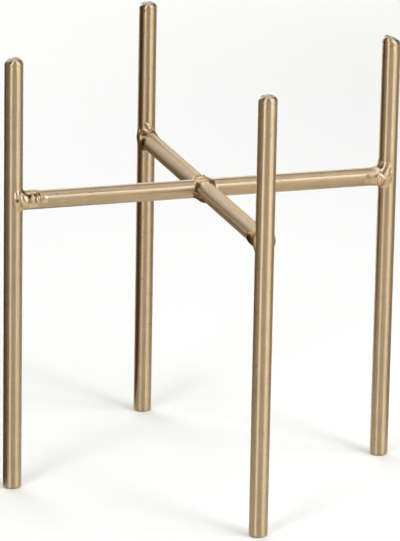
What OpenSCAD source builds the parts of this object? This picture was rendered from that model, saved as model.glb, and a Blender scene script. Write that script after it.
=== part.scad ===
// Plant stand: four upright rods, held by a welded cross of round bar that carries the pot.
// The cross is one through bar and two stubs, each butt-welded where it meets another rod.
// Frame: +Z up, origin on the floor under the centre of the cross, through bar along X.

/* [Legs] */
// Height of the cross bars' axes above the floor
cross_z = 128; // [60:1:260]
// How far a leg stands above the cross bars' axes
post_h = 62; // [30:1:120]
// Distance between the axes of two opposite legs
leg_spacing = 168; // [90:1:300]
// Diameter of the leg rod
leg_d = 8; // [6:0.5:12]
// Radius that rounds the edge of a leg's top end
top_round = 1.6; // [0.5:0.1:2.4]
// Radius that rounds the edge of a foot
foot_round = 1.1; // [0.4:0.1:2]

/* [Sheared tops] */
// Direction in which a leg's sheared top rises, seen from above; the right leg's rises the other way
shear_dir = -17; // [-90:1:90]
// Slope of the left leg's top, in degrees
slope_left = 10; // [0:1:20]
// Slope of the right leg's top, in degrees
slope_right = 18; // [0:1:25]
// Slope of the front leg's top, in degrees
slope_front = 7; // [0:1:20]
// Slope of the back leg's top, in degrees
slope_back = 7; // [0:1:20]

/* [Cross] */
// Diameter of the rod that the through bar and the stubs are cut from
bar_d = 8; // [5:0.5:12]
// Gap left for the weld between a square-cut bar end and the rod it meets
root_gap = 0.3; // [0.1:0.05:0.6]

/* [Welds] */
// How far the left weld swells out at its flanks
flank_left = 0.9; // [0.3:0.1:2.4]
// How far the right weld swells out at its flanks
flank_right = 1; // [0.3:0.1:2.4]
// How far the front weld swells out at its flanks
flank_front = 1.6; // [0.3:0.1:2.4]
// How far the back weld swells out at its flanks
flank_back = 0.7; // [0.3:0.1:2.4]
// How far the centre welds swell out at their flanks
flank_centre = 2; // [0.6:0.1:3]
// How far the left weld runs along the bar, past the leg
reach_left = 4.4; // [2:0.2:8]
// How far the right weld runs along the bar, past the leg
reach_right = 5; // [2:0.2:8]
// How far the front weld runs along the stub, past the leg
reach_front = 5; // [2:0.2:8]
// How far the back weld runs along the stub, past the leg
reach_back = 3.4; // [2:0.2:8]
// How far the centre welds run along the stubs, past the through bar
reach_centre = 3; // [2:0.2:8]
// How far a leg weld wraps round the leg, past the leg's middle
wrap = 1.4; // [0.4:0.1:2.4]
// How far any weld stands proud of the bars, on top and underneath
crown = 0.6; // [0.4:0.1:1.5]
// Distance from one ripple of a weld to the next
ripple_pitch = 1.8; // [1:0.1:2.4]
// How far a weld's last ripple stands proud of the bar
toe = 0.25; // [0.1:0.05:0.6]

/* [Hidden] */
$fn = 96;
leg_h = cross_z + post_h;
leg_r = leg_d / 2;
bar_r = bar_d / 2;
leg_ring_r = leg_spacing / 2;
// A ripple's own radius, larger than half a pitch so that neighbours merge
ripple_r = 0.8 * ripple_pitch;
// Radius of the two arcs that keep a weld low on top and underneath
crown_r = 2.2 * bar_r;
// Direction of each leg from the centre, seen from above
RIGHT = 0;
BACK = RIGHT + 90;
LEFT = RIGHT + 180;
FRONT = RIGHT - 90;
rod_brass = "#b3946a";
weld_brass = "#c9ab7c";

// Half the outline of a leg, to be turned about its axis
module leg_outline() {
    intersection() {
        union() {
            translate([0, foot_round]) square([leg_r, leg_h - foot_round - top_round]);
            square([leg_r - foot_round, leg_h - top_round]);
            square([leg_r - top_round, leg_h]);
            translate([leg_r - foot_round, foot_round]) circle(foot_round);
            translate([leg_r - top_round, leg_h - top_round]) circle(top_round);
        }
        square([leg_r, leg_h]);
    }
}

// One leg. Its top is sheared along a plane that rises towards rise_dir, at slope degrees.
module leg(side, rise_dir, slope) {
    color(rod_brass)
        translate(leg_ring_r * [cos(side), sin(side), 0])
            difference() {
                rotate_extrude() leg_outline();
                rotate(rise_dir) translate([leg_r - top_round, 0, leg_h]) rotate([0, -slope, 0])
                    translate([-leg_d, -leg_d, 0]) cube(2 * leg_d);
            }
}

// A length of bar that starts at the distance start from the centre and runs towards side
module bar(side, start, length) {
    color(rod_brass)
        rotate(side) translate([start, 0, cross_z]) rotate([0, 90, 0]) cylinder(h = length, r = bar_r);
}

// The bar from the left leg to the right leg, square-cut at both ends
module through_bar() {
    half = leg_ring_r - leg_r - root_gap;
    bar(RIGHT, -half, 2 * half);
}

// A half bar from the through bar out to the leg at side
module stub(side) {
    start = bar_r + root_gap;
    bar(side, start, leg_ring_r - leg_r - root_gap - start);
}

// A distance from the origin that no weld reaches, given where its last ripple lies
function far(last) = 2 * (last + bar_d);

// Half the outline of a weld, to be turned about the axis of the bar that it holds.
// Y runs along that bar, from the middle of the rod that it meets. The ripples lie on the bar, or
// on the rod's flanks where they wrap round it. They stand highest at peak, and fall off from there.
// A skin half as thick as the toe joins them.
module weld_outline(rod_r, flank, first, peak, last) {
    steps = ceil((last - first) / ripple_pitch);
    at = [for (i = [0 : steps]) first + (last - first) * i / steps];
    seat = [for (y = at) bar_r + (rod_r - bar_r) * max(0, 1 - y / rod_r)];
    swell = [for (y = at) flank * cos(90 * (y - peak) / (y > peak ? last - peak : peak + wrap))];
    centre = [for (i = [0 : steps]) [seat[i] + toe + swell[i] - ripple_r, at[i]]];
    skin = [for (i = [0 : steps]) [seat[i] + toe / 2, at[i]]];
    intersection() {
        union() {
            polygon([[0, first], each skin, [0, last]]);
            for (c = centre) translate(c) circle(ripple_r);
        }
        translate([0, -far(last)]) square([far(last), 2 * far(last)]);
    }
}

// The section across the bar that keeps a weld low on top and underneath: two shallow arcs
module weld_section() {
    drop = crown_r - bar_r - crown;
    intersection() {
        translate([0, drop]) circle(crown_r);
        translate([0, -drop]) circle(crown_r);
    }
}

// A weld round the square end of a bar along X. The rod that the bar meets goes through the
// origin, upright or, when it is level, along Y.
module weld(rod_r, level, flank, first, peak, last) {
    difference() {
        intersection() {
            rotate([0, 90, 0]) rotate_extrude() weld_outline(rod_r, flank, first, peak, last);
            rotate([90, 0, 90]) linear_extrude(2 * far(last), center = true) weld_section();
        }
        rotate([level ? 90 : 0, 0, 0]) cylinder(h = 2 * far(last), r = rod_r, center = true);
        translate([rod_r + root_gap, 0, 0]) rotate([0, 90, 0]) cylinder(h = far(last), r = bar_r);
    }
}

// The weld between the leg at side and its bar. It points inwards, and wraps round the leg's flanks.
module leg_weld(side, flank, reach) {
    color(weld_brass)
        translate([leg_ring_r * cos(side), leg_ring_r * sin(side), cross_z]) rotate(side + 180)
            weld(leg_r, false, flank, ripple_r - wrap, leg_r, leg_r + reach);
}

// The weld between the through bar and the stub towards side. Front and back welds meet over the bar.
module centre_weld(side) {
    last = bar_r + reach_centre;
    color(weld_brass)
        translate([0, 0, cross_z]) rotate(side)
            intersection() {
                weld(bar_r, true, flank_centre, 0, bar_r / 2, last);
                translate([0, -far(last), -far(last)]) cube(2 * far(last));
            }
}

leg(LEFT, shear_dir, slope_left);  // leg_left
leg(RIGHT, shear_dir + 180, slope_right);  // leg_right
leg(FRONT, shear_dir, slope_front);  // leg_front
leg(BACK, shear_dir, slope_back);  // leg_back
through_bar();
stub(FRONT);  // stub_front
stub(BACK);  // stub_back
leg_weld(LEFT, flank_left, reach_left);  // weld_left
leg_weld(RIGHT, flank_right, reach_right);  // weld_right
leg_weld(FRONT, flank_front, reach_front);  // weld_front
leg_weld(BACK, flank_back, reach_back);  // weld_back
centre_weld(FRONT);  // weld_centre_front
centre_weld(BACK);  // weld_centre_back
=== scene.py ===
import math

import bmesh
import bpy
import numpy as np
from mathutils import Matrix, Vector, noise


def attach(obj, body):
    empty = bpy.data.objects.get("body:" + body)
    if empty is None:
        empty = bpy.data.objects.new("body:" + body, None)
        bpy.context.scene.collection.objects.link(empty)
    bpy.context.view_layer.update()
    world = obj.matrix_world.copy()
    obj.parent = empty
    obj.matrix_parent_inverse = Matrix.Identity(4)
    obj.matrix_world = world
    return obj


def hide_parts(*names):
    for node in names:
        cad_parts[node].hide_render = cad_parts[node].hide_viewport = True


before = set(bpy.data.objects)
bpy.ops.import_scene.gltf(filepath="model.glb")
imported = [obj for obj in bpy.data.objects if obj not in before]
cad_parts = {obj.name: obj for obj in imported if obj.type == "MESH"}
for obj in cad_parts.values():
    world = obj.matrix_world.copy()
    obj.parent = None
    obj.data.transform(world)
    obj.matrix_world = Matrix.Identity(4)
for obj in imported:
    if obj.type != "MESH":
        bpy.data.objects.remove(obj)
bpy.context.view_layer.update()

# ---------------------------------------------------------------- sizes, in mm
# Lengths, diameters and places are those of the CAD. The tops' rounding and the two planes of
# their cuts are the scene's own, and follow the photograph more closely.
MM = 0.001
CROSS_Z = 128
LEG_H = 190
LEG_R = 4
BAR_R = 4
RING_R = 84
ROOT_GAP = 0.3
FOOT_ROUND = 1.1
TOP_ROUND = 1.5
# The rounded edge of a top stops short at this angle, where it meets the cut face
TOP_CREASE = 68
# Inside this radius, a rod's end goes over to the tone of a cut face, within the fade
CUT_R = 3.2
CUT_FADE = 0.4
# A faint clamp mark runs round each leg, this far below the rounding of its top
MARK_BELOW = 1.2
MARK_DEPTH = 0.05
MARK_HALF = 0.12
# Directions from the centre, seen from above, in degrees from +X towards +Y
RIGHT, BACK, LEFT, FRONT = 0, 90, 180, -90
SHEAR_DIR = -17
# Each leg: the direction it stands in from the centre, where its cut top rises to, how far past
# the axis the ridge of the cut lies, and the slopes of the cut before and after the ridge
LEGS = {
    "leg_left": (LEFT, SHEAR_DIR, 1.0, 12, 16),
    "leg_right": (RIGHT, SHEAR_DIR + 180, 2.0, 18, 5),
    "leg_front": (FRONT, SHEAR_DIR, 0.5, 6, 7),
    "leg_back": (BACK, SHEAR_DIR, 0.8, 6, 6),
}
# The tilt of a top starts this far below it, and grows to its full size over this length
TILT_STARTS = 14
TILT_OVER = 12
RIDGE_SOFTNESS = 0.08
# How far a rod is worn off its true round at most, and how fast that changes round it and along it
WEAR = 0.022
WEAR_ROUND = 1.3
WEAR_ALONG = 0.05
# Steps round a rod and along a leg
SEGMENTS = 112
LEG_STEPS = 90


def new_object(name, data):
    obj = bpy.data.objects.new(name, data)
    bpy.context.scene.collection.objects.link(obj)
    return obj


def heading(direction):
    """A level vector of length 1, its direction in degrees from +X towards +Y."""
    return Vector((math.cos(math.radians(direction)), math.sin(math.radians(direction)), 0))


# ---------------------------------------------------------------- materials
# Colours are linear. The tone of the rods was fitted to the photograph.
ROD_DARK = (0.466, 0.347, 0.209, 1)
ROD_LIGHT = (0.582, 0.432, 0.264, 1)
CUT_FACE = (0.50, 0.41, 0.30, 1)
# Painted shade for the crease round each cut face
CREASE_SHADE = (0.16, 0.10, 0.055, 1)
# A darker tone in the pits
PIT_DARKER = (0.12, 0.075, 0.040, 1)
WELD_DARK = (0.53, 0.385, 0.232, 1)
WELD_LIGHT = (0.64, 0.480, 0.305, 1)
WELD_EDGE = (0.58, 0.42, 0.27, 1)
# Painted shade and dark reflections on the welds, in their hollows and dark spots
PAINTED_DARK_TONE = (0.085, 0.042, 0.016, 1)


def nodes_of(material):
    material.use_nodes = True
    tree = material.node_tree
    return tree, tree.nodes["Principled BSDF"]


def wire(tree, node, inputs):
    """Sets inputs of a node, each to another node's output or to a plain value."""
    for key, value in inputs.items():
        if isinstance(value, bpy.types.NodeSocket):
            tree.links.new(value, node.inputs[key])
        else:
            node.inputs[key].default_value = value


def add(tree, kind, inputs=None, **settings):
    node = tree.nodes.new(kind)
    for key, value in settings.items():
        setattr(node, key, value)
    wire(tree, node, inputs or {})
    return node


def maths(tree, operation, a, b):
    return add(tree, "ShaderNodeMath", {0: a, 1: b}, operation=operation).outputs[0]


def mapped(tree, value, start, end, low, high, **settings):
    """A value mapped from the range start to end onto the range low to high, and held beyond it."""
    inputs = {"Value": value, "From Min": start, "From Max": end, "To Min": low, "To Max": high}
    return add(tree, "ShaderNodeMapRange", inputs, **settings).outputs["Result"]


def noise_of(tree, vector, scale, detail):
    """Noise from 0 to 1. Where the vector is a place, its scale is in waves to the metre."""
    inputs = {"Vector": vector, "Scale": scale, "Detail": detail, "Roughness": 0.55}
    return add(tree, "ShaderNodeTexNoise", inputs).outputs["Fac"]


def blend(tree, factor, low, high):
    """A colour between two others."""
    return add(tree, "ShaderNodeMix", {0: factor, 6: low, 7: high}, data_type="RGBA").outputs[2]


def bump_of(tree, height, strength, distance):
    inputs = {"Height": height, "Strength": strength, "Distance": distance}
    return add(tree, "ShaderNodeBump", inputs).outputs["Normal"]


def pits_of(tree, where):
    """Sparse round pits, 1 in a pit and 0 elsewhere: about one cell in four has one at its heart."""
    cells_per_metre = 420
    floor_ends, rim_ends = 0.10, 0.20
    empty_below = 0.66
    cells = add(tree, "ShaderNodeTexVoronoi", {"Vector": where, "Scale": cells_per_metre})
    near = mapped(tree, cells.outputs["Distance"], floor_ends, rim_ends, 1, 0)
    chosen = maths(tree, "GREATER_THAN", cells.outputs["Color"], empty_below)
    return maths(tree, "MULTIPLY", near, chosen)


def rod_tone(tree, where, bands, cut, pits):
    """Mottled brass, with duller cut faces, painted shade in the creases round them and a darker tone in the
    pits.
    """
    mottle = noise_of(tree, where, 140, 4)
    # The crease lies halfway from the rod to the cut face, and painted shade darkens it
    crease = maths(tree, "PINGPONG", cut, 0.5)
    crease_shade = maths(tree, "MULTIPLY", crease, 1.1)
    in_pits = maths(tree, "MULTIPLY", pits, 0.55)
    tone = blend(tree, mottle, ROD_DARK, ROD_LIGHT)
    tone = blend(tree, cut, tone, CUT_FACE)
    tone = blend(tree, crease_shade, tone, CREASE_SHADE)
    tone = blend(tree, in_pits, tone, PIT_DARKER)
    shade = mapped(tree, bands, 0.3, 0.7, 0.94, 1.05)
    return add(tree, "ShaderNodeHueSaturation", {"Color": tone, "Value": shade}).outputs["Color"]


def rod_material(name):
    """Satin brass rod: fine rings from polishing, a mottled tone, sparse pits and duller cut ends."""
    material = bpy.data.materials.new(name)
    tree, shader = nodes_of(material)
    uv = add(tree, "ShaderNodeUVMap", uv_map="UVMap").outputs["UV"]
    where = add(tree, "ShaderNodeTexCoord").outputs["Object"]
    # UV is in metres: U runs along the rod and V runs round it
    fine = add(tree, "ShaderNodeMapping", {"Vector": uv, "Scale": (9000, 260, 1)}).outputs["Vector"]
    coarse = add(tree, "ShaderNodeMapping", {"Vector": uv, "Scale": (2200, 60, 1)}).outputs["Vector"]
    rings = noise_of(tree, fine, 1, 3)
    bands = noise_of(tree, coarse, 1, 2)
    pits = pits_of(tree, where)
    cut = add(tree, "ShaderNodeAttribute", attribute_name="cut").outputs["Fac"]
    rough = mapped(tree, rings, 0, 1, 0.37, 0.43)
    rougher_cut = maths(tree, "MULTIPLY", cut, 0.14)
    height = maths(tree, "SUBTRACT", rings, pits)
    tangent = add(tree, "ShaderNodeTangent", direction_type="UV_MAP", uv_map="UVMap")
    wire(tree, shader, {
        "Base Color": rod_tone(tree, where, bands, cut, pits),
        "Metallic": 1,
        "Roughness": maths(tree, "ADD", rougher_cut, rough),
        "Anisotropic": 0.97,
        "Tangent": tangent.outputs["Tangent"],
        "Normal": bump_of(tree, height, 0.25, 0.03 * MM),
    })
    return material


def weld_material(name):
    """Melted brass with soft pits, browned and dulled by painted shade in the grooves and by painted dark
    spots of shade and reflection.
    """
    material = bpy.data.materials.new(name)
    tree, shader = nodes_of(material)
    where = add(tree, "ShaderNodeTexCoord").outputs["Object"]
    heat = noise_of(tree, where, 260, 3)
    # Painted shade in the grooves and painted dark spots, as a share from 0 to 1
    painted_dark = add(tree, "ShaderNodeAttribute", attribute_name="painted_dark").outputs["Fac"]
    clean = blend(tree, heat, WELD_DARK, WELD_LIGHT)
    rough = mapped(tree, heat, 0.35, 0.65, 0.27, 0.38)
    rougher_where_painted_dark = maths(tree, "MULTIPLY", painted_dark, 0.18)
    pits = noise_of(tree, where, 1500, 2)
    wire(tree, shader, {
        "Base Color": blend(tree, painted_dark, clean, PAINTED_DARK_TONE),
        "Metallic": 1,
        "Specular Tint": WELD_EDGE,
        "Roughness": maths(tree, "ADD", rougher_where_painted_dark, rough),
        "Normal": bump_of(tree, pits, 0.12, 0.04 * MM),
    })
    return material


ROD = rod_material("rod_brass")
WELD = weld_material("weld_brass")


# ---------------------------------------------------------------- pieces
def finish_piece(obj, node, material):
    """Gives a mesh its material and lets it stand for one node of the part."""
    obj.data.materials.append(material)
    for face in obj.data.polygons:
        face.use_smooth = True
    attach(obj, "root")
    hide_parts(node)


def arc(cx, cz, radius, start, end, steps):
    """Points (r, z) on an arc, angles in degrees from +r."""
    out = []
    for i in range(steps + 1):
        t = math.radians(start + (end - start) * i / steps)
        out.append((cx + radius * math.cos(t), cz + radius * math.sin(t)))
    return out


def straight(radius, start, length, count):
    """Points inside a straight stretch of an outline, at even steps."""
    return [(radius, start + length * i / count) for i in range(1, count)]


def leg_profile():
    """Radius and height from the middle of the foot to the middle of the top, in mm."""
    drop = TOP_ROUND * math.sin(math.radians(TOP_CREASE))
    mark = LEG_H - drop - MARK_BELOW
    out = [(0, 0), (1.2, 0), (2.2, 0)]
    out += arc(LEG_R - FOOT_ROUND, FOOT_ROUND, FOOT_ROUND, -90, 0, 8)
    out += straight(LEG_R, FOOT_ROUND, mark - FOOT_ROUND, LEG_STEPS)
    out += [(LEG_R, mark), (LEG_R - MARK_DEPTH, mark + MARK_HALF), (LEG_R, mark + 2 * MARK_HALF)]
    out.append((LEG_R, mark + 0.7))
    out += arc(LEG_R - TOP_ROUND, LEG_H - drop, TOP_ROUND, 0, TOP_CREASE, 9)
    # Close rings just inside the crease keep it sharp and carry the painted shade in it
    out += [(r, LEG_H) for r in (3.04, 2.95, 2.8, 2.4, 2.0, 1.6, 1.2, 0.8, 0.4, 0)]
    return out


def bar_profile(length):
    """Radius and place along a square-cut bar, in mm."""
    nick = 0.15
    out = [(0, 0), (2, 0), (BAR_R - nick, 0), (BAR_R, nick)]
    out += straight(BAR_R, nick, length - 2 * nick, max(8, round(length / 2)))
    out += [(BAR_R, length - nick), (BAR_R - nick, length), (2, length), (0, length)]
    return out


def turned_ring(bm, r, z, seed, put):
    """The corners of one ring of a rod, a little worn, or the point where its outline meets the axis."""
    if r == 0:
        return [bm.verts.new(put(Vector((0, 0, z))))]
    ring = []
    for i in range(SEGMENTS):
        t = 2 * math.pi * i / SEGMENTS
        at = Vector((WEAR_ROUND * math.cos(t), WEAR_ROUND * math.sin(t), WEAR_ALONG * z + seed))
        worn = r - abs(WEAR * noise.noise(at)) if r > 1 else r
        ring.append(bm.verts.new(put(Vector((worn * math.cos(t), worn * math.sin(t), z)))))
    return ring


def join_rings(bm, layer, a, b, start, end):
    """Faces between two rings that lie at start and end along the outline, with UVs in metres."""
    for i in range(SEGMENTS):
        j = (i + 1) % SEGMENTS
        if len(a) == 1:
            corners = [(a[0], start, i + 0.5), (b[j], end, i + 1), (b[i], end, i)]
        elif len(b) == 1:
            corners = [(a[i], start, i), (a[j], start, i + 1), (b[0], end, i + 0.5)]
        else:
            corners = [(a[i], start, i), (a[j], start, i + 1), (b[j], end, i + 1), (b[i], end, i)]
        face = bm.faces.new([corner[0] for corner in corners])
        for loop, (_, run, turn) in zip(face.loops, corners):
            loop[layer].uv = (run * MM, turn / SEGMENTS * 2 * math.pi * LEG_R * MM)


def lathe(name, profile, place, seed, shape=None):
    """A smooth turned rod with UVs in metres. shape moves a point (x, y, z) given in mm."""
    def put(p):
        return place @ ((shape(p) if shape else p) * MM)

    bm = bmesh.new()
    layer = bm.loops.layers.uv.new("UVMap")
    rings = [turned_ring(bm, r, z, seed, put) for r, z in profile]
    run = 0.0
    for k in range(len(profile) - 1):
        (r0, z0), (r1, z1) = profile[k:k + 2]
        end = run + math.hypot(r1 - r0, z1 - z0)
        join_rings(bm, layer, rings[k], rings[k + 1], run, end)
        run = end
    bmesh.ops.recalc_face_normals(bm, faces=bm.faces)
    mesh = bpy.data.meshes.new(name)
    bm.to_mesh(mesh)
    bm.free()
    cut = [min(1, max(0, (CUT_R - r) / CUT_FADE)) for (r, _), ring in zip(profile, rings) for _ in ring]
    mesh.attributes.new("cut", "FLOAT", "POINT").data.foreach_set("value", cut)
    return new_object(name, mesh)


def make_leg(node, seed):
    side, rise, ridge, near_slope, far_slope = LEGS[node]
    near, far = math.tan(math.radians(near_slope)), math.tan(math.radians(far_slope))
    uphill = heading(rise)

    def shear(p):
        # The top follows two planes that meet in a soft ridge
        weight = min(1, max(0, (p.z - (LEG_H - TILT_STARTS)) / TILT_OVER))
        along = p.dot(uphill) - ridge
        before, after = -along * near, along * far
        drop = (before + after + math.hypot(before - after, RIDGE_SOFTNESS)) / 2
        return Vector((p.x, p.y, p.z - weight * drop))

    place = Matrix.Translation(heading(side) * RING_R * MM)
    obj = lathe(node.replace("leg", "rod"), leg_profile(), place, seed, shear)
    finish_piece(obj, node, ROD)


def make_bar(node, name, side, start, length, seed):
    turn = Matrix.Rotation(math.radians(side), 4, "Z")
    lay_down = Matrix.Rotation(math.radians(90), 4, "Y")
    place = turn @ Matrix.Translation(Vector((start, 0, CROSS_Z)) * MM) @ lay_down
    obj = lathe(name, bar_profile(length), place, seed)
    finish_piece(obj, node, ROD)


# The last number of each rod is the seed of its wear
for number, node_name in enumerate(LEGS):
    make_leg(node_name, 7.3 * number)
HALF = RING_R - LEG_R - ROOT_GAP
make_bar("through_bar", "rod_through", RIGHT, -HALF, 2 * HALF, 31)
STUB_START = BAR_R + ROOT_GAP
make_bar("stub_front", "rod_stub_front", FRONT, STUB_START, HALF - STUB_START, 43)
make_bar("stub_back", "rod_stub_back", BACK, STUB_START, HALF - STUB_START, 57)

# ---------------------------------------------------------------- welds
# Each weld is one solid, grown from a distance field in its joint's own frame, in mm: X runs
# along the bar, away from the axis of the rod that the bar meets, and Z is up.
WELD_GRID = 0.26
# Beyond the melt, a weld's surface lies this far inside the rods and dips out of sight
SINK = 0.05
# A weld ends on an ellipsoid, whose middle lies this share of its reach along the bar
LEAD = 0.38
# How softly one bead meets the next, and how high the fine unevenness of the melt is
BEAD_BLEND = 0.12
UNEVENNESS = 0.03
# Width of the wall of a ring mark, as a share of the ring
RING_WALL = 0.3
# How much painted shade darkens the hollows between beads
GROOVE_SHADE = 0.45


def smooth_min(a, b, k):
    """The smaller of two distances, rounded off where they are about the same."""
    h = np.clip(0.5 + 0.5 * (b - a) / k, 0, 1)
    return b + (a - b) * h - k * h * (1 - h)


def cylinder(p, axis, radius):
    """Distance to a round rod along an axis through the origin."""
    others = [i for i in range(3) if i != axis]
    return np.hypot(p[others[0]], p[others[1]]) - radius


def ellipsoid(p, centre, radii):
    """Roughly the distance to an ellipsoid, best close to its surface."""
    x, y, z = ((p[i] - centre[i]) / radii[i] for i in range(3))
    k0 = np.sqrt(x * x + y * y + z * z) + 1e-9
    k1 = np.sqrt((x / radii[0]) ** 2 + (y / radii[1]) ** 2 + (z / radii[2]) ** 2) + 1e-9
    return k0 * (k0 - 1) / k1


def nosed_bar(p, rod_r):
    """A bar along +X with a rounded nose, so that the fillet dies out on the far side of the rod."""
    nose = ellipsoid(p, (rod_r, 0, 0), (0.85 * rod_r, BAR_R - SINK, BAR_R - SINK))
    return np.where(p[0] < rod_r, nose, cylinder(p, 0, BAR_R - SINK))


def fillet_size(p, above, below, plus, minus):
    """How far the melt spreads, from its sizes above and below the bar and on its +Y and -Y sides."""
    up, out = p[2] ** 2, p[1] ** 2
    tall = np.where(p[2] > 0, above, below)
    wide = np.where(p[1] > 0, plus, minus)
    return (tall * up + wide * out) / (up + out + 1e-6)


def spread(p, centre, radii):
    """Squared distance from a place, as a share of the radii."""
    return sum(((p[i] - centre[i]) / radii[i]) ** 2 for i in range(3))


def relief(p, marks):
    """Height of a weld's marks. A bead lies over the marks before it; swells, rings and pits are added."""
    height = 0 * p[0]
    for kind, centre, radii, rise in marks:
        away = spread(p, centre, radii)
        if kind == "bead":
            height = -smooth_min(-height, -rise * (1 - away), BEAD_BLEND)
        elif kind == "swell":
            height = height + rise * np.clip(1 - away, 0, 1) ** 1.5
        elif kind == "ring":
            height = height + rise * np.exp(-((np.sqrt(away) - 1) / RING_WALL) ** 2)
        else:
            height = height - rise * np.exp(-2 * away)
    return height


def ripple_noise(p, seed):
    """Small uneven swelling, made of a few crossed waves."""
    x, y, z = p
    return (np.sin(1.9 * x + 1.1 * z + seed) * np.sin(1.3 * y - 0.9 * z + 2 * seed)
            + 0.5 * np.sin(3.1 * z + 1.7 * y + 3 * seed) * np.sin(2.3 * x - seed))


def weld_field(level, fillet, marks, reach, seed):
    """Distance to a weld between a bar along +X and the rod that it meets, upright or level along Y."""
    def field(p):
        rod = cylinder(p, 1 if level else 2, LEG_R - SINK)
        bar = nosed_bar(p, LEG_R)
        d = smooth_min(rod, bar, fillet_size(p, *fillet)) - relief(p, marks)
        # The rods stay smooth: only melt that stands off them is uneven
        melt = np.clip((np.minimum(rod, bar) - 0.1) * 4, 0, 1)
        d = d + UNEVENNESS * ripple_noise(p, seed) * melt
        d = np.maximum(d, ellipsoid(p, (LEAD * reach[0], 0, 0), reach))
        # The two centre welds meet in the middle of the through bar
        return np.maximum(d, -p[0]) if level else d
    return field


def slope_of(field, points, value):
    """The field's slope at each point along the three axes, given its value there."""
    small = 0.01
    return np.stack([(field(list((points + small * axis).T)) - value) / small for axis in np.eye(3)], 1)


def settle(field, points, step):
    """Moves points onto the zero level along the field's slope, by less than half a step at a time."""
    farthest = 0.4 * step
    least_steep = 0.05
    for _ in range(3):
        value = field(list(points.T))
        slope = slope_of(field, points, value)
        steepness = np.maximum((slope ** 2).sum(1), least_steep)
        move = slope * (value / steepness)[:, None]
        points = points - np.clip(move, -farthest, farthest)
    return points


def cells_round(crossed, u, v):
    """The crossed edges inside the grid, and the four cells round each, in order from u to v."""
    last_u, last_v = crossed.shape[u] - 1, crossed.shape[v] - 1
    edges = np.argwhere(crossed)
    inner = (edges[:, u] > 0) & (edges[:, v] > 0) & (edges[:, u] < last_u) & (edges[:, v] < last_v)
    edges = edges[inner]
    around = []
    for du, dv in ((1, 1), (0, 1), (0, 0), (1, 0)):
        cell = edges.copy()
        cell[:, u] -= du
        cell[:, v] -= dv
        around.append(cell)
    return edges, np.stack(around, 1)


def surface_net(field, low, high, step):
    """Closed quad mesh of the zero level of a field, which is negative inside: a point for each
    cell that the level passes through, and a face for each edge of the grid that it crosses."""
    axes = [np.arange(low[i], high[i] + step, step) for i in range(3)]
    values = field(np.meshgrid(*axes, indexing="ij"))
    size = np.array(values.shape)
    total = np.zeros(size - 1)
    centre = np.zeros((*(size - 1), 3))
    quads = []
    for axis in range(3):
        u, v = [i for i in range(3) if i != axis]
        a = np.take(values, range(size[axis] - 1), axis)
        b = np.take(values, range(1, size[axis]), axis)
        crossed = (a < 0) != (b < 0)
        share = np.where(crossed, a / np.where(a == b, 1, a - b), 0)
        for du in (0, 1):
            for dv in (0, 1):
                part = [slice(None)] * 3
                part[u] = slice(du, size[u] - 1 + du)
                part[v] = slice(dv, size[v] - 1 + dv)
                here = crossed[tuple(part)]
                total += here
                centre[..., axis] += np.where(here, share[tuple(part)], 0)
                centre[..., u] += np.where(here, du, 0)
                centre[..., v] += np.where(here, dv, 0)
        edges, cells = cells_round(crossed, u, v)
        # From u to v, a face looks along X and Z but against Y. Where that is inwards, it is turned round.
        inwards = (a[tuple(edges.T)] < 0) == (axis == 1)
        cells[inwards] = cells[inwards][:, ::-1]
        quads.append(cells)
    used = total > 0
    index = np.full(used.shape, -1)
    index[used] = np.arange(used.sum())
    points = (np.argwhere(used) + centre[used] / total[used][:, None]) * step + np.array(low)
    faces = [index[cells[..., 0], cells[..., 1], cells[..., 2]] for cells in quads]
    return settle(field, points, step), np.concatenate(faces)


def hollowness(field, points):
    """How hollow the surface is at each point, from 0 to 1: grooves between beads and tight corners."""
    reach = 0.35
    full = 0.8
    bend = sum(field(list((points + s * reach * axis).T)) for axis in np.eye(3) for s in (-1, 1))
    bend = (bend - 6 * field(list(points.T))) / reach ** 2
    return np.clip(-full * bend, 0, 1)


def paint_dark_spots(points, spots):
    """Painted dark spots of shade and reflection, from 0 to 1. Each has a centre, radii and a depth of tone.
    """
    out = np.zeros(len(points))
    for centre, radii, depth in spots:
        out = np.maximum(out, depth * np.exp(-1.4 * spread(points.T, centre, radii) ** 1.5))
    return out


def leg_place(side):
    """Takes a leg's joint to its place in the part. Its X points to the middle of the cross."""
    a = math.radians(side)
    at = Vector((RING_R * math.cos(a), RING_R * math.sin(a), CROSS_Z)) * MM
    return Matrix.Translation(at) @ Matrix.Rotation(a + math.pi, 4, "Z")


def centre_place(side):
    """Takes a joint in the middle of the cross to its place in the part. Its X points to the side."""
    return Matrix.Translation(Vector((0, 0, CROSS_Z)) * MM) @ Matrix.Rotation(math.radians(side), 4, "Z")


def make_weld(node, side, level, fillet, marks, reach, seed):
    name = node.replace("weld", "bead")
    field = weld_field(level, fillet, marks, reach, seed)
    margin = 0.6
    low = ((LEAD - 1) * reach[0] - margin, -reach[1] - margin, -reach[2] - margin)
    high = ((LEAD + 1) * reach[0] + margin, reach[1] + margin, reach[2] + margin)
    points, faces = surface_net(field, low, high, WELD_GRID)
    # Painted shade in the hollows, and painted dark spots of shade and reflection
    painted_dark = GROOVE_SHADE * hollowness(field, points) + paint_dark_spots(points, PAINTED_DARK_SPOTS[node])
    painted_dark = np.clip(painted_dark, 0, 1).astype(np.float32)
    mesh = bpy.data.meshes.new(name)
    mesh.from_pydata((points * MM).tolist(), [], faces.tolist())
    mesh.attributes.new("painted_dark", "FLOAT", "POINT").data.foreach_set("value", painted_dark)
    mesh.transform(centre_place(side) if level else leg_place(side))
    mesh.update()
    finish_piece(new_object(name, mesh), node, WELD)


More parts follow.
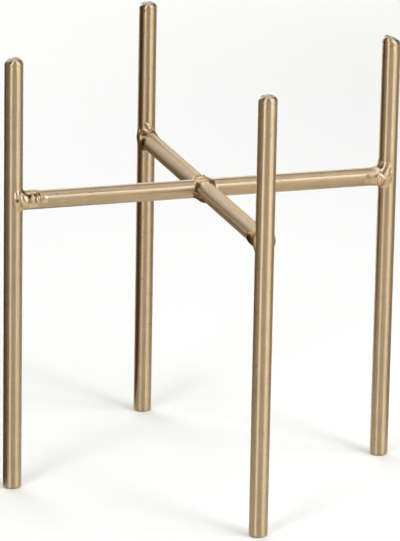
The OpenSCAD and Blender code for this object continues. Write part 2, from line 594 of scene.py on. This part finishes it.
# Marks on a weld: kind, centre, radii and height, or depth for a pit. The side that the
# photograph shows is -Y on the left, back and front centre welds, and +Y on the others.
LEFT_MARKS = [
    ("swell", (7.4, -0.4, 3.6), (5.0, 4.2, 2.6), 0.5),
    ("swell", (4.6, -3.9, -0.8), (6.4, 3.4, 4.4), 0.45),
    ("bead", (0.7, -3.9, 1.2), (2.0, 2.8, 4.4), 1.2),
    ("bead", (3.9, -3.9, 1.2), (2.5, 3.0, 4.0), 1.5),
    ("bead", (7.5, -3.9, 1.9), (1.5, 2.8, 2.8), 1.35),
    ("bead", (9.9, -3.9, 1.7), (1.2, 2.8, 2.8), 0.95),
    ("swell", (12.8, -3.9, 1.2), (1.9, 2.6, 2.8), 0.12),
    ("pit", (0.6, -4.6, 1.4), (0.8, 1.2, 0.9), 0.35),
    ("pit", (6.1, -4.0, 2.9), (0.7, 1.6, 1.0), 0.4),
    ("bead", (8.2, 3.9, 0.0), (1.9, 2.6, 3.4), 0.5),
    ("bead", (5.8, 3.9, 0.0), (2.2, 2.6, 3.7), 0.8),
    ("bead", (3.2, 3.9, 0.0), (2.4, 3.0, 4.0), 1.0),
    ("bead", (0.8, 3.9, 0.0), (1.8, 2.6, 3.6), 0.8),
]
RIGHT_MARKS = [
    ("swell", (5.0, 3.6, -0.4), (6.4, 3.8, 5.4), 1.0),
    ("swell", (9.6, 3.9, 0.0), (2.6, 3.0, 4.6), 0.16),
    ("swell", (2.0, 4.0, 3.8), (2.6, 2.8, 3.8), 0.5),
    ("ring", (5.2, 4.6, -0.8), (1.5, 2.6, 2.4), 0.32),
    ("swell", (5.2, 4.6, -0.9), (1.1, 2.2, 1.8), 0.35),
    ("pit", (-0.2, 4.4, 2.6), (0.7, 1.2, 0.9), 0.3),
    ("bead", (8.4, -3.9, 0.0), (1.9, 2.6, 3.4), 0.5),
    ("bead", (6.0, -3.9, 0.0), (2.2, 2.6, 3.8), 0.8),
    ("bead", (3.4, -3.9, 0.0), (2.4, 3.0, 4.1), 1.0),
    ("bead", (0.9, -3.9, 0.0), (1.8, 2.6, 3.6), 0.8),
]
FRONT_MARKS = [
    ("swell", (7.1, 3.4, -0.5), (5.6, 3.2, 3.2), 1.5),
    ("bead", (0.7, 4.0, 0.2), (1.5, 2.2, 4.2), 0.7),
    ("bead", (5.4, -3.9, 0.0), (2.4, 2.6, 3.7), 0.9),
    ("bead", (3.0, -3.9, 0.0), (2.2, 2.8, 3.8), 1.1),
    ("bead", (1.2, -3.8, 0.2), (2.2, 2.4, 3.4), 1.4),
]
BACK_MARKS = [
    ("bead", (1.2, -3.9, 1.6), (1.6, 2.4, 4.2), 0.9),
    ("bead", (6.2, -3.6, 1.4), (5.2, 2.6, 3.6), 0.9),
    ("ring", (6.4, -4.2, 1.4), (2.8, 2.2, 1.9), 0.2),
    ("bead", (3.9, -1.2, 7.5), (0.9, 1.1, 0.8), 0.4),
    ("bead", (4.1, -0.5, 6.6), (1.0, 1.0, 1.0), 0.5),
    ("bead", (4.4, 0.3, 5.7), (1.1, 1.1, 1.2), 0.6),
    ("bead", (6.2, 3.9, 0.0), (2.2, 2.6, 3.6), 0.6),
    ("bead", (3.6, 3.9, 0.0), (2.4, 2.8, 3.9), 0.8),
    ("bead", (1.0, 3.9, 0.0), (1.8, 2.4, 3.5), 0.7),
]
CENTRE_FRONT_MARKS = [
    ("swell", (2.2, 0.0, 1.8), (6.4, 5.0, 5.0), 0.7),
    ("swell", (7.0, -3.6, -2.6), (7.0, 3.0, 2.8), 1.5),
    ("bead", (5.6, -4.4, -0.6), (3.2, 2.2, 0.8), 1.2),
    ("pit", (5.6, -4.2, 1.4), (3.0, 1.6, 1.4), 0.4),
    ("pit", (3.0, 5.7, 2.6), (0.9, 0.5, 2.0), 0.2),
]
CENTRE_BACK_MARKS = [
    ("swell", (2.0, 0.0, 1.8), (6.0, 5.0, 5.0), 0.7),
    ("bead", (3.0, -1.4, 4.9), (0.9, 0.9, 0.9), 0.8),
    ("bead", (6.0, 3.9, -1.0), (2.0, 2.6, 2.4), 0.7),
]
# Painted dark spots of shade and reflection on each weld: centre, radii and depth of tone
PAINTED_DARK_SPOTS = {
    "weld_left": [((0.5, -4.6, 1.4), (0.9, 1.6, 1.0), 0.9), ((6.2, -3.9, 2.9), (0.9, 1.6, 1.2), 0.9),
                  ((10.6, -3.0, 3.2), (3.0, 1.6, 0.8), 0.7), ((4.6, -1.6, 4.4), (3.6, 1.2, 1.0), 0.5)],
    "weld_right": [((-0.2, 4.4, 2.7), (0.9, 1.5, 1.3), 0.9), ((4.2, 2.2, 4.6), (0.9, 1.4, 0.8), 0.7),
                   ((9.6, 3.9, 0.0), (2.4, 3.0, 4.0), 0.25)],
    "weld_front": [((7.1, 4.4, -0.1), (5.4, 3.0, 2.9), 1.0)],
    "weld_back": [((3.4, -4.0, 1.4), (1.5, 2.2, 2.8), 0.9), ((9.2, -4.0, 0.9), (2.2, 2.2, 2.6), 1.0),
                  ((6.2, -3.2, 3.4), (2.6, 1.6, 1.1), 0.9), ((3.4, -2.4, 7.4), (0.8, 0.9, 0.9), 0.6)],
    "weld_centre_front": [((6.0, -4.4, 1.5), (4.4, 2.2, 2.0), 1.0), ((3.0, 5.7, 2.6), (1.0, 0.6, 2.2), 0.9),
                          ((4.6, 0.8, 4.6), (1.1, 2.4, 0.9), 0.35)],
    "weld_centre_back": [((3.0, -1.4, 5.3), (0.9, 1.0, 0.8), 0.9)],
}
# Each weld: side, whether the rod that its bar meets is level, fillet (above, below, +Y, -Y),
# marks, reach (the radii of the ellipsoid that it ends on) and seed of its unevenness
WELDS = {
    "weld_left": (LEFT, False, (1.2, 0.7, 2.2, 1.6), LEFT_MARKS, (13, 7.5, 8.5), 1.0),
    "weld_right": (RIGHT, False, (4.6, 1.6, 2.6, 2.6), RIGHT_MARKS, (13, 7.5, 8.5), 2.0),
    "weld_front": (FRONT, False, (2.0, 3.0, 3.6, 2.2), FRONT_MARKS, (13, 7.5, 9.0), 3.0),
    "weld_back": (BACK, False, (2.6, 2.0, 2.2, 2.2), BACK_MARKS, (11, 7.5, 10.5), 4.0),
    "weld_centre_front": (FRONT, True, (3.4, 3.0, 2.2, 2.0), CENTRE_FRONT_MARKS, (11.5, 8.2, 7.0), 5.0),
    "weld_centre_back": (BACK, True, (3.4, 3.0, 1.8, 1.8), CENTRE_BACK_MARKS, (11.0, 7.6, 7.0), 6.0),
}
for node_name, weld in WELDS.items():
    make_weld(node_name, *weld)

# ---------------------------------------------------------------- floor, in m
# Away from the object, the paper goes over from lit to even between these distances, and higher up
# the wall it goes back to lit paper
EVEN_STARTS, EVEN_FULL = 0.6, 1.05
WALL_FADES, WALL_LIT = 0.16, 1.3
EVEN_WHITE = (0.98, 0.98, 0.95, 1)
# Papers, each as the two colours that its tone is clouded between
WHITE = ((0.984, 0.954, 0.868, 1), (0.992, 0.962, 0.876, 1))
BROWN = ((0.10, 0.055, 0.028, 1), (0.14, 0.08, 0.042, 1))
TAN = ((0.50, 0.41, 0.31, 1), (0.56, 0.46, 0.35, 1))
CREAM = ((0.58, 0.49, 0.39, 1), (0.64, 0.54, 0.43, 1))
# Cards are placed this far above the floor
CARD_LIFT = 0.001


def toward(azimuth, elevation, distance):
    """A vector at an azimuth, in degrees from -Y towards +X, and an elevation."""
    a, e = math.radians(azimuth), math.radians(elevation)
    return Vector((math.sin(a) * math.cos(e), -math.cos(a) * math.cos(e), math.sin(e))) * distance


def paper(name, low, high):
    """Matt paper, its tone clouded between two colours."""
    material = bpy.data.materials.new(name)
    tree, shader = nodes_of(material)
    where = add(tree, "ShaderNodeTexCoord").outputs["Object"]
    cloud = add(tree, "ShaderNodeTexNoise", {"Vector": where, "Scale": 3.0}).outputs["Fac"]
    tone = blend(tree, cloud, low, high)
    wire(tree, shader, {"Base Color": tone, "Roughness": 1, "Specular IOR Level": 0})
    return material


def even_rim(material, colour):
    """Evens out the far floor and the foot of the wall, as seen by the camera, in metal or through glass."""
    tree, shader = nodes_of(material)
    path = add(tree, "ShaderNodeLightPath").outputs
    seen = maths(tree, "MAXIMUM", path["Is Camera Ray"], path["Is Glossy Ray"])
    seen = maths(tree, "MAXIMUM", seen, path["Is Transmission Ray"])
    where = add(tree, "ShaderNodeTexCoord").outputs["Object"]
    away = add(tree, "ShaderNodeVectorMath", {0: where}, operation="LENGTH").outputs["Value"]
    height = add(tree, "ShaderNodeSeparateXYZ", {0: where}).outputs["Z"]
    far = mapped(tree, away, EVEN_STARTS, EVEN_FULL, 0, 1, interpolation_type="SMOOTHSTEP")
    low = mapped(tree, height, WALL_LIT, WALL_FADES, 0, 1, interpolation_type="SMOOTHSTEP")
    share = maths(tree, "MULTIPLY", seen, maths(tree, "MULTIPLY", far, low))
    glow = add(tree, "ShaderNodeEmission", {"Color": colour}).outputs[0]
    mixed = add(tree, "ShaderNodeMixShader", {0: share, 1: shader.outputs["BSDF"], 2: glow}).outputs[0]
    tree.links.new(mixed, tree.nodes["Material Output"].inputs["Surface"])


def stage_mesh(name, points, faces, material):
    """A smooth mesh that stands round the object and isn't part of it."""
    mesh = bpy.data.meshes.new(name)
    mesh.from_pydata(points, [], faces)
    mesh.materials.append(material)
    for face in mesh.polygons:
        face.use_smooth = True
    obj = new_object(name, mesh)
    return obj


def make_sweep(floor_r, bend, wall_h, steps=72):
    """A round white floor that bends up into a wall, so that every view has the same backdrop."""
    profile = [(0.4, 0), (1.2, 0), (floor_r, 0)]
    profile += [(r, z + bend) for r, z in arc(floor_r, 0, bend, -80, 0, 8)]
    profile.append((floor_r + bend, wall_h))
    points = [(0, 0, 0)]
    for r, z in profile:
        points += [(*toward(360 * i / steps, 0, r).xy, z) for i in range(steps)]
    faces = [(0, 1 + i, 1 + (i + 1) % steps) for i in range(steps)]
    for k in range(len(profile) - 1):
        low, high = 1 + k * steps, 1 + (k + 1) * steps
        faces += [(low + i, high + i, high + (i + 1) % steps, low + (i + 1) % steps) for i in range(steps)]
    white = paper("white_paper", *WHITE)
    even_rim(white, EVEN_WHITE)
    stage_mesh("sweep", points, faces, white)


make_sweep(floor_r=3.7, bend=0.7, wall_h=3.4)

# ---------------------------------------------------------------- light
# Daylight tubes, a little cooler than the paper
LAMP_COLOUR = (0.955, 1.0, 1.09)
LAMP_AIM = Vector((0, 0, 0.1))
# Where the camera stands, as an azimuth. The lamps and cards are placed from it.
CAM_YAW = -17.84


def softbox(name, azimuth, elevation, distance, width, height, radiance):
    """A soft lamp that faces the object, in metres and degrees."""
    data = bpy.data.lights.new(name, "AREA")
    data.shape = "RECTANGLE"
    data.size = width
    data.size_y = height
    data.energy = radiance * math.pi * width * height
    data.color = LAMP_COLOUR
    light = new_object(name, data)
    spot = toward(azimuth, elevation, distance) + LAMP_AIM
    light.location = spot
    light.rotation_euler = (LAMP_AIM - spot).to_track_quat("-Z", "Y").to_euler()
    light.visible_camera = False


SOFTBOXES = {
    # name: azimuth from the camera, elevation, distance, width, height, radiance
    "strip_left_low": (-33, 12, 1.3, 0.36, 0.55, 4.1),
    "strip_left_high": (-29, 38, 1.3, 0.36, 0.65, 4.4),
    "strip_right_low": (56, 12, 1.3, 0.46, 0.55, 2.6),
    "strip_right_high": (50, 36, 1.3, 0.40, 0.55, 6.6),
    "fill_right": (76, 25, 1.3, 0.36, 0.90, 3.2),
    "side_right": (95, 45, 0.6, 0.20, 0.20, 2.8),
    "near_right": (60, 45, 0.6, 0.20, 0.20, 1.6),
    "back_left_low": (-158, 10, 1.5, 0.50, 0.45, 3.5),
    "back_left_far": (-140, 14, 2.1, 1.30, 0.90, 1.5),
    "back_left_high": (-140, 38, 1.5, 0.60, 0.50, 1.7),
    "back_low": (-172, 32, 1.5, 1.10, 0.60, 2.1),
    "back_high": (-175, 56, 1.5, 1.20, 0.70, 0.6),
    "overhead": (0, 88, 1.4, 1.20, 1.20, 1.9),
}
for box_name, (azimuth, *rest) in SOFTBOXES.items():
    softbox(box_name, CAM_YAW + azimuth, *rest)


def only_reflected(obj):
    """Leaves a card to be seen in the metal alone. It throws no shadow and tints nothing else."""
    obj.visible_camera = False
    obj.visible_diffuse = False
    obj.visible_shadow = False


def make_card(name, start, end, near, far, low, high):
    """A coloured card that lies on the floor, between two azimuths from the camera and two distances.
    It gives the metal its darker sides."""
    steps = 12
    points = []
    for i in range(steps + 1):
        azimuth = CAM_YAW + start + (end - start) * i / steps
        points += [(*toward(azimuth, 0, r).xy, CARD_LIFT) for r in (near, far)]
    faces = [(2 * i, 2 * i + 1, 2 * i + 3, 2 * i + 2) for i in range(steps)]
    only_reflected(stage_mesh(name, points, faces, paper(name, low, high)))


def make_flag(name, start, end, radius, height, low, high):
    """A bent upright card between two azimuths from the camera. It darkens the left edges of the rods."""
    steps = 16
    points = []
    for i in range(steps + 1):
        spot = toward(CAM_YAW + start + (end - start) * i / steps, 0, radius)
        points += [(*spot.xy, CARD_LIFT), (*spot.xy, height)]
    faces = [(2 * i, 2 * i + 2, 2 * i + 3, 2 * i + 1) for i in range(steps)]
    only_reflected(stage_mesh(name, points, faces, paper(name, low, high)))


make_flag("flag_left", -90, -134, 0.19, 0.26, *BROWN)
make_card("card_left", -160, -70, 0.09, 1.0, *BROWN)
make_card("card_front_left", -70, -35, 0.12, 1.0, *CREAM)
make_card("card_right", 75, 160, 0.12, 1.0, *TAN)


def make_world():
    """A black world, so that the metal shows only the paper, the cards and the lamps."""
    world = bpy.data.worlds.new("studio")
    bpy.context.scene.world = world
    world.use_nodes = True
    world.node_tree.nodes["Background"].inputs["Color"].default_value = (0, 0, 0, 1)


make_world()

# ---------------------------------------------------------------- camera
# Fitted to the rods' edges in the 400 x 541 photograph
PHOTO_H = 541
FOCAL_PX = 4165.7
CAM_ELEVATION = 16.98
CAM_ROLL = math.radians(1.04)
CAM_DISTANCE = 1.7952
CAM_TARGET = Vector((-0.0006, 0, 0.0911))
SENSOR = 36


def make_camera():
    """The photograph's camera. Back, right and up are its own axes."""
    back = toward(CAM_YAW, CAM_ELEVATION, 1)
    right = heading(CAM_YAW)
    up = back.cross(right)
    axes = Matrix((right, up, back)).transposed() @ Matrix.Rotation(CAM_ROLL, 3, "Z")
    data = bpy.data.cameras.new("camera")
    data.sensor_fit = "VERTICAL"
    data.sensor_height = SENSOR
    data.lens = FOCAL_PX / PHOTO_H * SENSOR
    camera = new_object("camera", data)
    camera.matrix_world = Matrix.Translation(CAM_TARGET + back * CAM_DISTANCE) @ axes.to_4x4()
    bpy.context.scene.camera = camera


make_camera()
bpy.context.scene.view_settings.view_transform = "Standard"
